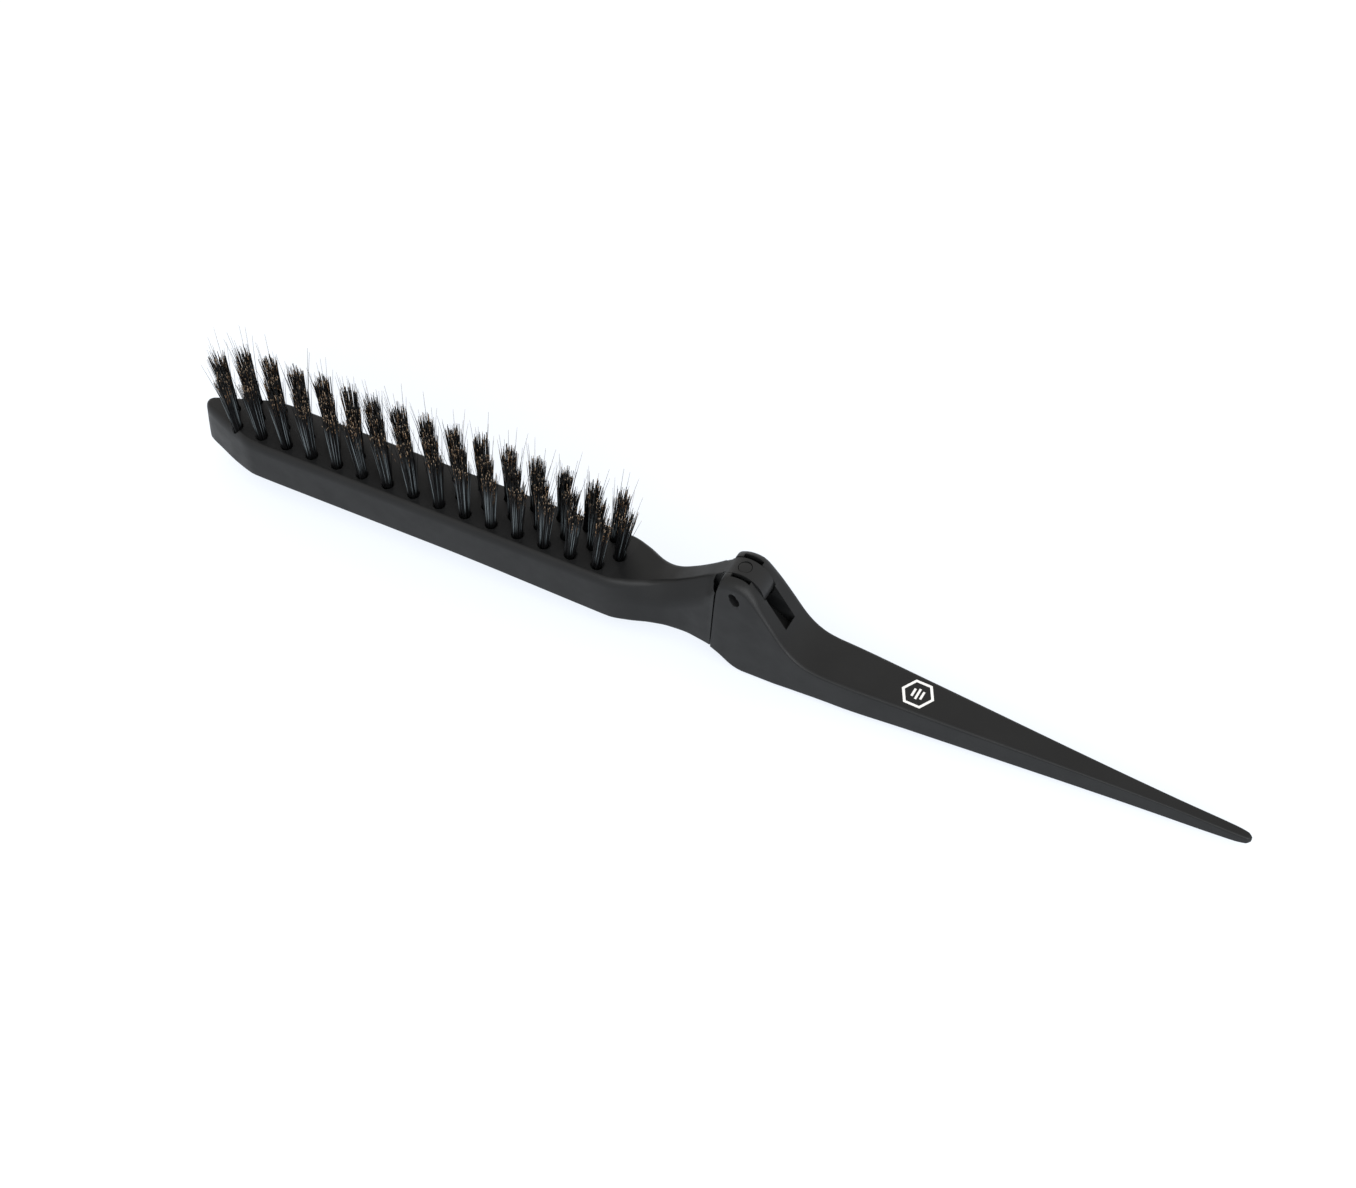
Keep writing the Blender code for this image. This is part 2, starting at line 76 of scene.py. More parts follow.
# Hinge sizes. The gaps at the socket, the pocket and the button and the pin's recess are not the
# CAD's: they follow the look of the real gaps, and the socket's leaves room for the fold
PIN_BORE_RADIUS = 1.09 * MM
CHEEK_HALF_WIDTH = 5.4 * MM
CROWN_HALF_WIDTH = 5.1 * MM
CROWN_RADIUS = 5.1 * MM
CROWN_ROUNDING = 2.4 * MM
KNUCKLE_RADIUS = 5.0 * MM
KNUCKLE_HALF_WIDTH = 2.15 * MM
POCKET_RADIUS = 5.4 * MM
POCKET_HALF_WIDTH = 2.34 * MM
SOCKET_CLEARANCE = 0.52 * MM
SOCKET_RELIEF = (5.9 * MM, 2.9 * MM)
SOCKET_INNER = 1.8 * MM
RECESS_FLOOR = 3.2 * MM
RECESS_LOW = (0.15 * MM, -0.5 * MM, 1.0 * MM)
RECESS_HIGH = (-0.4 * MM, 1.0 * MM, 0.85 * MM)
WEB_HALF_WIDTH = 1.65 * MM
SLOT_HALF_WIDTH = 1.95 * MM
SLOT_REACH = 9.6 * MM
PARTING_BOTTOM = (4.1, 4.2)
PARTING_TOP = (6.7, 24.6)
PARTING_GAP = 0.36
BUTTON_RADIUS = 1.35 * MM
BUTTON_CLEARANCE = 0.12 * MM
NOTCH_SHIFT = 0.45 * MM
NOTCH_HALF_LENGTH = 2.1 * MM
NOTCH_OUTER = 3.25 * MM
NOTCH_FLOOR = 2.4 * MM
CAVITY_FLOOR = 1.5 * MM
FOOT_WINDOW_HALF_LENGTH = 2.1 * MM
FOOT_WINDOW_HALF_WIDTH = 4.0 * MM
FOOT_WINDOW_LOW = 2.0 * MM
FOOT_WINDOW_HIGH = 3.9 * MM
SPRING_WIRE = 0.13 * MM

# The pin's lead and how far it stops short of the recess's floor. The button's heights above the
# pin's axis, and its dome, whose arc ends at an angle in radians
PIN_LEAD = 0.15 * MM
PIN_SHORT = 0.05 * MM
BUTTON_FOOT_TOP = 3.75 * MM
BUTTON_WALL_LOW = 3.2 * MM
DOME_DROP = 0.16 * MM
DOME_RISE = 0.14 * MM
DOME_END = 1.45

# Tufts. A pair is a lowest and a highest value. Reaches are shares of the tuft's length, spreads
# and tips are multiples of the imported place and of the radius, and strand radii are millimetres
HOLE_RADIUS = 1.25 * MM
HOLE_DEPTH = 6.0 * MM
HOLE_LEAD = 0.12 * MM
TUFT_SEED = 4100
TUFT_LENGTH = 14.6 * MM
TUFT_LENGTH_SPREAD = (0.97, 1.04)
STRANDS = 100
STRAYS = 9
GOLDEN_ANGLE = 2.39996
PACKED_RADIUS = 1.08 * MM
STRAND_FOOT = -4.2 * MM
STRAND_REACH = (0.90, 1.10)
STRAY_REACH = (1.08, 1.48)
STRAY_REACH_LIMIT = 1.42
STRAND_SPREAD = (1.45, 1.85)
STRAND_RADIUS = (0.072, 0.100)
STRAY_RADIUS = (0.068, 0.084)
STRAND_TIP = (0.6, 0.85)
STRAY_TIP = 0.35
STRAND_SIDES = 3

# Printed mark
MARK_X = 48.6 * MM
MARK_RADIUS = 3.55 * MM
MARK_STROKE = 0.55 * MM
MARK_LIFT = 0.012 * MM

# Lofts, in millimetres. Along the bed the head's top edge is rounded further down its side, which
# eases off over the span towards the neck
BED_Z = 15.6
HEEL_Z = 0.0
CORNER_STEPS = 8
CORNER_LIMIT = 0.45
RIB_STEP = 1.0
BED_EDGE_SPAN = (-20.0, -8.0)
BED_EDGE_DROP = (2.4, 1.0)
FINE_SIDES = 48
ROUND_SIDES = 96

# Stage
FLOOR_Z = -0.0002
FLOOR_SIZE = 3.0
LIGHT_AIM = (0.02, 0.0, 0.01)
LIGHT_COLOUR = (0.95, 0.98, 1.0)

Rib = namedtuple("Rib", "top_x top_z low_x low_z top shoulder low share top_r shoulder_r low_r")


def parting_x(z, side):
    """Where the head's end (side -1) or the handle's front (side 1) stands at this height."""
    share = (z - PARTING_BOTTOM[1]) / (PARTING_TOP[1] - PARTING_BOTTOM[1])
    middle = PARTING_BOTTOM[0] + share * (PARTING_TOP[0] - PARTING_BOTTOM[0])
    return middle + side * PARTING_GAP / 2.0


HEAD_RIBS = (
    Rib(-119.3, 15.2, -120.0, 5.3, 0.9, 1.0, 1.0, 0.5, 0.6, 1.0, 0.6),
    Rib(-118.6, 15.5, -119.3, 4.75, 1.6, 1.8, 1.8, 0.5, 0.9, 1.0, 0.8),
    Rib(-115.0, BED_Z, -115.6, 4.65, 3.1, 3.4, 3.4, 0.5, 1.1, 1.0, 0.9),
    Rib(-109.0, BED_Z, -109.3, 4.6, 5.4, 5.7, 5.8, 0.5, 1.1, 1.0, 0.9),
    Rib(-105.0, BED_Z, -104.8, 4.6, 6.6, 6.8, 6.85, 0.5, 1.1, 1.0, 0.9),
    Rib(-100.5, BED_Z, -99.8, 4.6, 6.9, 6.9, 6.9, 0.5, 1.1, 1.0, 0.9),
    Rib(-60.0, BED_Z, -60.0, 4.6, 6.9, 6.9, 6.9, 0.5, 1.1, 1.0, 0.9),
    Rib(-24.0, BED_Z, -24.0, 3.55, 6.9, 6.9, 6.9, 0.5, 1.1, 1.0, 0.9),
    Rib(-19.0, BED_Z, -18.7, 3.35, 6.75, 6.9, 6.9, 0.55, 1.1, 1.2, 1.0),
    Rib(-14.7, BED_Z, -14.3, 3.55, 5.6, 6.1, 6.25, 0.58, 1.1, 1.4, 1.2),
    Rib(-10.4, 15.7, -10.0, 3.9, 3.55, 4.95, 5.2, 0.6, 0.9, 1.6, 1.3),
    Rib(-6.1, 17.0, -5.8, 4.25, 2.3, 4.35, 4.6, 0.62, 0.7, 1.8, 1.3),
    Rib(-1.8, 19.6, -2.2, 4.4, 2.0, 4.4, 4.5, 0.66, 0.6, 1.8, 1.3),
    Rib(2.5, 22.8, 1.4, 4.42, 1.9, 4.9, 4.85, 0.7, 0.6, 1.6, 1.2),
    Rib(parting_x(26.0, -1), 26.0, parting_x(4.4, -1), 4.4, 2.3, 5.3, 5.15, 0.86, 0.7, 1.6, 1.0),
)

TAIL_RIBS = (
    Rib(29.5, 9.05, 32.0, 0.7, 5.4, 5.4, 5.4, 0.5, 0.9, 1.0, 1.0),
    Rib(48.8, 7.95, 48.8, 0.75, 4.5, 4.5, 4.5, 0.5, 0.9, 1.0, 1.0),
    Rib(105.0, 4.75, 105.0, 0.75, 1.35, 1.35, 1.35, 0.5, 0.5, 0.5, 0.5),
    Rib(116.5, 4.0, 116.5, 1.1, 1.1, 1.1, 1.1, 0.5, 0.6, 0.6, 0.6),
    Rib(119.2, 3.6, 119.2, 1.5, 0.85, 0.85, 0.85, 0.5, 0.5, 0.5, 0.5),
    Rib(120.0, 3.0, 120.0, 2.2, 0.35, 0.35, 0.35, 0.5, 0.15, 0.15, 0.15),
)


def clevis_ribs():
    """The clevis and the slope behind it: an arc over the pin, then a slope down to the tail."""
    pin_x, pin_z = PIN.x / MM, PIN.z / MM
    crown = CROWN_RADIUS / MM
    rounding = CROWN_ROUNDING / MM
    narrow, wide = CROWN_HALF_WIDTH / MM, CHEEK_HALF_WIDTH / MM

    def rib(top_x, top_z, low_x, low_z, top, top_r):
        return Rib(top_x, top_z, low_x, low_z, top, wide, wide, 0.7, top_r, 1.0, 1.0)

    rows = [rib(parting_x(25.3, 1), 25.3, parting_x(4.2, 1), 4.2, narrow, rounding)]
    over_pin = (
        (131.0, 6.3, 2.9),
        (119.0, 8.4, 1.1),
        (105.0, 9.9, 0.3),
        (88.0, 11.4, HEEL_Z),
        (70.0, 13.0, HEEL_Z),
    )
    for angle, low_x, low_z in over_pin:
        turn = math.radians(angle)
        top_x, top_z = pin_x + crown * math.cos(turn), pin_z + crown * math.sin(turn)
        rows.append(rib(top_x, top_z, low_x, low_z, narrow, rounding))
    down_the_slope = (
        (14.8, 25.2, 14.5, HEEL_Z, 5.15, 2.15),
        (16.6, 21.9, 16.0, HEEL_Z, 5.3, 1.4),
        (19.1, 17.5, 18.2, HEEL_Z, 5.4, 1.1),
        (21.4, 13.6, 21.5, 0.2, 5.4, 0.9),
        (23.6, 11.2, 25.0, 0.4, 5.4, 0.9),
        (26.2, 9.7, 28.5, 0.6, 5.4, 0.9),
    )
    return rows + [rib(*row) for row in down_the_slope]


# ---------------------------------------------------------------- mesh helpers


def add_object(name, mesh, location=(0.0, 0.0, 0.0)):
    obj = bpy.data.objects.new(name, mesh)
    obj.location = location
    bpy.context.scene.collection.objects.link(obj)
    return obj


def mesh_from(name, fill):
    bm = bmesh.new()
    fill(bm)
    bmesh.ops.recalc_face_normals(bm, faces=bm.faces)
    mesh = bpy.data.meshes.new(name)
    bm.to_mesh(mesh)
    bm.free()
    return mesh


def lathe_mesh(name, profile, sides, axis="Z"):
    """A closed turned body from (radius, height) pairs, bottom to top, along Z or Y."""
    quarter = math.radians(-90.0 if axis == "Y" else 0.0)
    turn = Matrix.Rotation(quarter, 4, "X")

    def fill(bm):
        rings = []
        for radius, height in profile:
            angles = [2.0 * math.pi * i / sides for i in range(sides)]
            ring = [Vector((radius * math.cos(a), radius * math.sin(a), height)) for a in angles]
            rings.append([bm.verts.new(turn @ point) for point in ring])
        for low, high in zip(rings, rings[1:]):
            for i in range(sides):
                j = (i + 1) % sides
                bm.faces.new((low[i], low[j], high[j], high[i]))
        bm.faces.new(list(reversed(rings[0])))
        bm.faces.new(rings[-1])

    return mesh_from(name, fill)


def box_mesh(name, low, high):
    def fill(bm):
        centre = (Vector(low) + Vector(high)) / 2.0
        size = Vector(high) - Vector(low)
        bmesh.ops.create_cube(bm, size=1.0, matrix=Matrix.LocRotScale(centre, None, size))

    return mesh_from(name, fill)


def plate_mesh(name, outline, half_width):
    """A flat outline in the XZ plane, extruded to both sides of the XZ plane."""

    def fill(bm):
        face = bm.faces.new([bm.verts.new((x, -half_width, z)) for x, z in outline])
        grown = bmesh.ops.extrude_face_region(bm, geom=[face])
        moved = [item for item in grown["geom"] if isinstance(item, bmesh.types.BMVert)]
        bmesh.ops.translate(bm, verts=moved, vec=(0.0, 2.0 * half_width, 0.0))

    return mesh_from(name, fill)


def oval_outline(first, second, steps):
    """The outline round two circles, each given as its x, its z and its radius."""
    along = Vector(second[:2]) - Vector(first[:2])
    heading = math.atan2(along.y, along.x)
    lean = math.acos((first[2] - second[2]) / along.length)
    one, two = heading + lean, heading - lean
    outline = []
    for (x, z, radius), start, end in ((first, one, two + 2.0 * math.pi), (second, two, one)):
        angles = [start + (end - start) * i / steps for i in range(steps + 1)]
        outline += [(x + radius * math.cos(a), z + radius * math.sin(a)) for a in angles]
    return outline


def smooth_rows(rows, step):
    """Ribs joined by a monotone cubic, sampled about every step along the top outline."""
    table = np.array(rows, float)
    span = np.hypot(*np.diff(table[:, :2], axis=0).T)
    slope = np.diff(table, axis=0) / span[:, None]
    tangent = np.zeros_like(table)
    tangent[0], tangent[-1] = slope[0], slope[-1]
    before, after = slope[:-1], slope[1:]
    weight_before = (span[:-1] + 2.0 * span[1:])[:, None]
    weight_after = (2.0 * span[:-1] + span[1:])[:, None]
    with np.errstate(divide="ignore", invalid="ignore"):
        mean = (weight_before + weight_after) / (weight_before / after + weight_after / before)
    tangent[1:-1] = np.where(before * after > 0.0, mean, 0.0)
    out = []
    for i, length in enumerate(span):
        count = max(2, math.ceil(length / step))
        for t in np.arange(count) / count:
            ease = (1.0 + 2.0 * t) * (1.0 - t) ** 2
            leave = t * (1.0 - t) ** 2 * length * tangent[i]
            arrive = t * t * (1.0 - t) * length * tangent[i + 1]
            out.append(ease * table[i] + (1.0 - ease) * table[i + 1] + (leave - arrive))
    out.append(table[-1])
    return [Rib(*row) for row in out]


def rounded_corner(before, corner, after, setback, steps, drop=1.0):
    """An arc that replaces a corner, from the setback before it to drop times that after it."""
    back = (before - corner).normalized()
    on = (after - corner).normalized()
    before_room = CORNER_LIMIT * (before - corner).length
    after_room = CORNER_LIMIT * (after - corner).length
    first = min(setback, before_room, after_room)
    last = min(setback * drop, after_room)
    turn = math.pi - back.angle(on)
    weight = math.cos(turn / 2.0)
    start, end = corner + back * first, corner + on * last
    points = []
    for i in range(steps + 1):
        t = i / steps
        a, b, c = (1.0 - t) ** 2, 2.0 * weight * t * (1.0 - t), t * t
        points.append((start * a + corner * b + end * c) / (a + b + c))
    return points


def rib_ring(rib, steps):
    """The rib's closed outline as 3-D points, right half from top to bottom, then left."""
    drop = float(np.interp(rib.top_x, BED_EDGE_SPAN, BED_EDGE_DROP))
    low, high = Vector((rib.low_x, rib.low_z)), Vector((rib.top_x, rib.top_z))
    height = (high - low).length
    corners = (
        (Vector((rib.top, height)), rib.top_r),
        (Vector((rib.shoulder, height * rib.share)), rib.shoulder_r),
        (Vector((rib.low, 0.0)), rib.low_r),
    )
    far_top, far_low = Vector((-rib.top, height)), Vector((-rib.low, 0.0))
    path = [far_top, *(corner for corner, _ in corners), far_low]
    half = []
    for i, (corner, setback) in enumerate(corners):
        half += rounded_corner(path[i], corner, path[i + 2], setback, steps, 1.0 if i else drop)
    ring = half + [Vector((-p.x, p.y)) for p in reversed(half)]
    across = (high - low) / height
    return [Vector((low.x + across.x * p.y, p.x, low.y + across.y * p.y)) * MM for p in ring]


def loft_mesh(name, ribs):
    """A closed body through the ribs' outlines, capped at both ends."""

    def fill(bm):
        rings = [[bm.verts.new(point) for point in rib_ring(rib, CORNER_STEPS)] for rib in ribs]
        for one, two in zip(rings, rings[1:]):
            for i in range(len(one)):
                j = (i + 1) % len(one)
                bm.faces.new((one[i], one[j], two[j], two[i]))
        bm.faces.new(rings[0])
        bm.faces.new(list(reversed(rings[-1])))

    return mesh_from(name, fill)


def combine(obj, others, operation):
    """Joins other objects to this one, or cuts them from it, and removes them."""
    for other in others:
        modifier = obj.modifiers.new(other.name, "BOOLEAN")
        modifier.operation = operation
        modifier.solver = "EXACT"
        modifier.object = other
    settle(obj)
    for other in others:
        bpy.data.objects.remove(other, do_unlink=True)


def settle(obj):
    """Replaces the object's mesh by its evaluated one and drops its modifiers."""
    bpy.context.view_layer.update()
    graph = bpy.context.evaluated_depsgraph_get()
    mesh = bpy.data.meshes.new_from_object(obj.evaluated_get(graph))
    obj.modifiers.clear()
    obj.data = mesh


def finish_edges(obj, width):
    """Rounds the sharp edges that cutting left, and shades the rest smooth."""
    bevel = obj.modifiers.new("edges", "BEVEL")
    bevel.width = width
    bevel.segments = 2
    bevel.limit_method = "ANGLE"
    bevel.angle_limit = math.radians(35.0)
    bevel.harden_normals = False
    settle(obj)
    obj.data.shade_smooth()
    obj.data.set_sharp_from_angle(angle=math.radians(50.0))
    weighted = obj.modifiers.new("shading", "WEIGHTED_NORMAL")
    weighted.keep_sharp = True
    settle(obj)


# ---------------------------------------------------------------- materials


def shader_of(material):
    return material.node_tree.nodes["Principled BSDF"]


def node(material, kind, **values):
    made = material.node_tree.nodes.new(kind)
    for name, value in values.items():
        setattr(made, name, value)
    return made


def link(material, source, target):
    material.node_tree.links.new(source, target)


def new_material(name, roughness):
    made = bpy.data.materials.new(name)
    made.use_nodes = True
    shader_of(made).inputs["Roughness"].default_value = roughness
    return made


def noise(material, scale, detail=4.0, roughness=0.55):
    """A noise texture in the object's own space; scale is in features per metre."""
    place = node(material, "ShaderNodeTexCoord")
    texture = node(material, "ShaderNodeTexNoise")
    texture.inputs["Scale"].default_value = scale
    texture.inputs["Detail"].default_value = detail
    texture.inputs["Roughness"].default_value = roughness
    link(material, place.outputs["Object"], texture.inputs["Vector"])
    return texture.outputs["Fac"]


def remap(material, value, low, high, to_low, to_high):
    made = node(material, "ShaderNodeMapRange")
    made.inputs["From Min"].default_value = low
    made.inputs["From Max"].default_value = high
    made.inputs["To Min"].default_value = to_low
    made.inputs["To Max"].default_value = to_high
    link(material, value, made.inputs["Value"])
    return made.outputs["Result"]


def mix_colours(material, factor, one, two):
    made = node(material, "ShaderNodeMix", data_type="RGBA")
    for socket, colour in ((made.inputs[6], one), (made.inputs[7], two)):
        if isinstance(colour, tuple):
            socket.default_value = (*colour, 1.0)
        else:
            link(material, colour, socket)
    link(material, factor, made.inputs[0])
    return made.outputs[2]


def soft_touch(name, dark, pale, roughness):
    """Moulded soft-touch plastic: a faint mottle, a satin grain and edges painted paler, partly
    as wear and partly as a painted highlight along the rounded edges.
    """
    made = new_material(name, roughness)
    shader = shader_of(made)
    mottle = remap(made, noise(made, 90.0), 0.35, 0.65, 0.0, 1.0)
    body = mix_colours(made, mottle, dark, pale)
    # Edges paler by pointiness: partly wear, partly a painted highlight on the fillets.
    edge = node(made, "ShaderNodeNewGeometry").outputs["Pointiness"]
    wear_and_highlight_mask = remap(made, edge, 0.53, 0.64, 0.0, 0.4)
    wear_and_highlight_colour = tuple(1.8 * channel for channel in pale)
    link(made, mix_colours(made, wear_and_highlight_mask, body, wear_and_highlight_colour), shader.inputs["Base Color"])
    smudge = remap(made, noise(made, 240.0, 3.0), 0.3, 0.7, roughness - 0.05, roughness + 0.06)
    link(made, smudge, shader.inputs["Roughness"])
    bump = node(made, "ShaderNodeBump")
    bump.inputs["Strength"].default_value = 0.35
    bump.inputs["Distance"].default_value = 0.01 * MM
    link(made, noise(made, 5200.0, 2.0), bump.inputs["Height"])
    link(made, bump.outputs["Normal"], shader.inputs["Normal"])
    shader.inputs["Specular IOR Level"].default_value = 0.17
    return made


def product(material, *factors):
    """The product of several values, as one socket."""
    so_far = factors[0]
    for factor in factors[1:]:
        made = node(material, "ShaderNodeMath", operation="MULTIPLY")
        link(material, so_far, made.inputs[0])
        link(material, factor, made.inputs[1])
        so_far = made.outputs[0]
    return so_far


def bristle_material():
    """Bristles: some slate grey up their stems, partly the filaments' own colour and partly
    painted gloss highlight streaks; others flecked with brown near their cut tips.
    """
    made = new_material("bristle_black", 0.4)
    shader = shader_of(made)
    tone = node(made, "ShaderNodeAttribute", attribute_name="strand").outputs["Fac"]
    along = node(made, "ShaderNodeAttribute", attribute_name="along").outputs["Fac"]
    # Slate grey on some stems: partly filament colour, partly painted gloss highlight streaks.
    slate_and_painted_gloss = product(
        made,
        remap(made, tone, 0.34, 0.24, 0.0, 1.0),
        remap(made, along, 0.28, 0.42, 0.0, 1.0),
        remap(made, along, 0.90, 0.70, 0.0, 1.0),
    )
    stem_and_painted_gloss = mix_colours(made, slate_and_painted_gloss, (0.0020, 0.0020, 0.0022), (0.078, 0.091, 0.098))
    flecks = product(
        made,
        remap(made, tone, 0.80, 0.84, 0.0, 1.0),
        remap(made, along, 0.68, 0.82, 0.0, 1.0),
        remap(made, noise(made, 1400.0, 2.0), 0.52, 0.58, 0.0, 1.0),
    )
    body = mix_colours(made, flecks, stem_and_painted_gloss, (0.165, 0.100, 0.055))
    cut = product(
        made,
        remap(made, along, 0.972, 1.0, 0.0, 1.0),
        remap(made, tone, 0.60, 0.70, 0.0, 0.8),
    )
    link(made, mix_colours(made, cut, body, (0.40, 0.30, 0.21)), shader.inputs["Base Color"])
    shader.inputs["Specular IOR Level"].default_value = 0.12
    return made


def steel_material():
    made = new_material("dark_steel", 0.38)
    shader = shader_of(made)
    shader.inputs["Metallic"].default_value = 1.0
    streak = remap(made, noise(made, 2600.0, 3.0), 0.3, 0.7, 0.0, 1.0)
    colour = mix_colours(made, streak, (0.10, 0.10, 0.10), (0.20, 0.20, 0.21))
    link(made, colour, shader.inputs["Base Color"])
    link(made, remap(made, noise(made, 1500.0), 0.3, 0.7, 0.3, 0.5), shader.inputs["Roughness"])
    return made


def ink_material():
    made = new_material("print_ink", 0.6)
    shader = shader_of(made)
    wear = remap(made, noise(made, 3500.0, 3.0), 0.3, 0.75, 0.0, 1.0)
    colour = mix_colours(made, wear, (0.62, 0.62, 0.61), (0.50, 0.50, 0.50))
    link(made, colour, shader.inputs["Base Color"])
    return made


# ---------------------------------------------------------------- mouldings


def pin_bore(name):
    radius, half = PIN_BORE_RADIUS, 2.0 * CHEEK_HALF_WIDTH
    profile = ((radius, -half), (radius, half))
    return add_object(name, lathe_mesh(name, profile, FINE_SIDES, "Y"), PIN)


def make_handle(material):
    """Clevis, slope and pointed tail in one moulding, slotted for the head's tongue."""
    ribs = smooth_rows(clevis_ribs() + list(TAIL_RIBS), RIB_STEP)
    handle = add_object("handle_moulding", loft_mesh("handle_moulding", ribs))
    x, z = PIN.x, PIN.z
    slot_outline = (
        (x - 9.0 * MM, z - 6.0 * MM),
        (x + 2.0 * MM, z - 6.0 * MM),
        (x + SLOT_REACH, z - 10.8 * MM),
        (x + SLOT_REACH, z + 8.0 * MM),
        (x - 9.0 * MM, z + 8.0 * MM),
    )
    pocket = ((POCKET_RADIUS, -POCKET_HALF_WIDTH), (POCKET_RADIUS, POCKET_HALF_WIDTH))
    notch_low = (x + NOTCH_SHIFT - NOTCH_HALF_LENGTH, -NOTCH_OUTER, z + NOTCH_FLOOR)
    notch_high = (x + NOTCH_SHIFT + NOTCH_HALF_LENGTH, NOTCH_OUTER, z + 2.0 * CROWN_RADIUS)
    recess_half = CHEEK_HALF_WIDTH - RECESS_FLOOR
    recess_y = RECESS_FLOOR + recess_half
    recess = plate_mesh("pin_recess", oval_outline(RECESS_LOW, RECESS_HIGH, 20), recess_half)
    cutters = [
        add_object("clevis_slot", plate_mesh("clevis_slot", slot_outline, SLOT_HALF_WIDTH)),
        add_object("knuckle_pocket", lathe_mesh("knuckle_pocket", pocket, ROUND_SIDES, "Y"), PIN),
        add_object("lock_notches", box_mesh("lock_notches", notch_low, notch_high)),
        add_object("near_recess", recess, (x, -recess_y, z)),
        add_object("far_recess", recess, (x, recess_y, z)),
        pin_bore("handle_pin_bore"),
    ]
    combine(handle, cutters, "DIFFERENCE")
    finish_edges(handle, 0.12 * MM)
    handle.data.materials.clear()
    handle.data.materials.append(material)
    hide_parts("handle")
    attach(handle, "handle")
    return handle


def tuft_nodes():
    return sorted(name for name in frame["nodes"] if name.startswith("tuft_"))


def tuft_axis(name):
    """The centres of a tuft's foot and top, from its CAD solid."""
    points = sorted((v.co.copy() for v in frame["nodes"][name].data.vertices), key=lambda p: p.z)
    third = len(points) // 3
    foot = sum(points[:third], Vector()) / third
    top = sum(points[-third:], Vector()) / third
    return foot, top


def tuft_mouth(name, surface_z):
    """Where the tuft's axis crosses the bristle bed, and the axis's direction."""
    foot, top = tuft_axis(name)
    way = (top - foot).normalized()
    return foot + way * ((surface_z - foot.z) / way.z), way


def tuft_holes(surface_z):
    """Every tuft hole, with a small lead-in at its mouth, as one cutter."""
    lead, over = HOLE_LEAD, 1.5 * MM
    profile = (
        (HOLE_RADIUS, -HOLE_DEPTH),
        (HOLE_RADIUS, -lead),
        (HOLE_RADIUS + lead, 0.0),
        (HOLE_RADIUS + lead + over, over),
    )
    one = lathe_mesh("hole", profile, 28)

    def fill(bm):
        for name in tuft_nodes():
            mouth, way = tuft_mouth(name, surface_z)
            copy = one.copy()
            lean = way.to_track_quat("Z", "Y").to_matrix().to_4x4()
            copy.transform(Matrix.Translation(mouth) @ lean)
            bm.from_mesh(copy)
            bpy.data.meshes.remove(copy)

    return add_object("tuft_holes", mesh_from("tuft_holes", fill))


def tongue_outline():
    """Side outline of the web that carries the neck's top on to the knuckle's crown."""
    x, z = PIN.x, PIN.z
    arc = [math.radians(angle) for angle in np.linspace(125.0, 90.0, 10)]
    crown = [(x + KNUCKLE_RADIUS * math.cos(a), z + KNUCKLE_RADIUS * math.sin(a)) for a in arc]
    return (
        (x - 9.5 * MM, z - 4.6 * MM),
        (x - 9.5 * MM, z - 1.8 * MM),
        (x - 8.3 * MM, z - 0.4 * MM),
        (x - 4.1 * MM, z + 3.115 * MM),
        *crown,
        (x, z - 4.6 * MM),
    )


def socket_mesh(name, side):
    """The space one rounded cheek needs as it turns about the pin; side is -1 near and 1 far."""
    core = CROWN_RADIUS - CROWN_ROUNDING
    flat = CROWN_HALF_WIDTH - CROWN_ROUNDING
    round_off = CROWN_ROUNDING + SOCKET_CLEARANCE
    turns = [math.radians(angle) for angle in np.linspace(90.0, 14.0, 12)]
    rounded = [(core + round_off * math.cos(a), flat + round_off * math.sin(a)) for a in turns]
    half = [*rounded, SOCKET_RELIEF, (SOCKET_RELIEF[0], SOCKET_INNER)]
    profile = half if side > 0 else [(radius, -y) for radius, y in half]
    return lathe_mesh(name, sorted(profile, key=lambda point: point[1]), 128, "Y")


def make_head(material, surface_z):
    """The moulded head: bristle bed, neck, tongue and hinge knuckle, with all the tuft holes."""
    ribs = smooth_rows(HEAD_RIBS, RIB_STEP)
    head = add_object("head_moulding", loft_mesh("head_moulding", ribs))
    x, z = PIN.x, PIN.z
    sockets = [
        add_object("near_socket", socket_mesh("near_socket", -1), PIN),
        add_object("far_socket", socket_mesh("far_socket", 1), PIN),
    ]
    combine(head, sockets, "DIFFERENCE")
    knuckle = ((KNUCKLE_RADIUS, -KNUCKLE_HALF_WIDTH), (KNUCKLE_RADIUS, KNUCKLE_HALF_WIDTH))
    joined = [
        add_object("tongue_web", plate_mesh("tongue_web", tongue_outline(), WEB_HALF_WIDTH)),
        add_object("knuckle", lathe_mesh("knuckle", knuckle, ROUND_SIDES, "Y"), PIN),
    ]
    combine(head, joined, "UNION")
    bore_radius = BUTTON_RADIUS + BUTTON_CLEARANCE
    bore = ((bore_radius, CAVITY_FLOOR), (bore_radius, 2.0 * KNUCKLE_RADIUS))
    foot_low = (x - FOOT_WINDOW_HALF_LENGTH, -FOOT_WINDOW_HALF_WIDTH, z + FOOT_WINDOW_LOW)
    foot_high = (x + FOOT_WINDOW_HALF_LENGTH, FOOT_WINDOW_HALF_WIDTH, z + FOOT_WINDOW_HIGH)
    cutters = [
        add_object("button_bore", lathe_mesh("button_bore", bore, FINE_SIDES), PIN),
        add_object("foot_window", box_mesh("foot_window", foot_low, foot_high)),
        pin_bore("head_pin_bore"),
        tuft_holes(surface_z),
    ]
    combine(head, cutters, "DIFFERENCE")
    finish_edges(head, 0.1 * MM)
    head.data.materials.clear()
    head.data.materials.append(material)
    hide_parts("head_body")
    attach(head, "head")
    return head


# ---------------------------------------------------------------- bristles


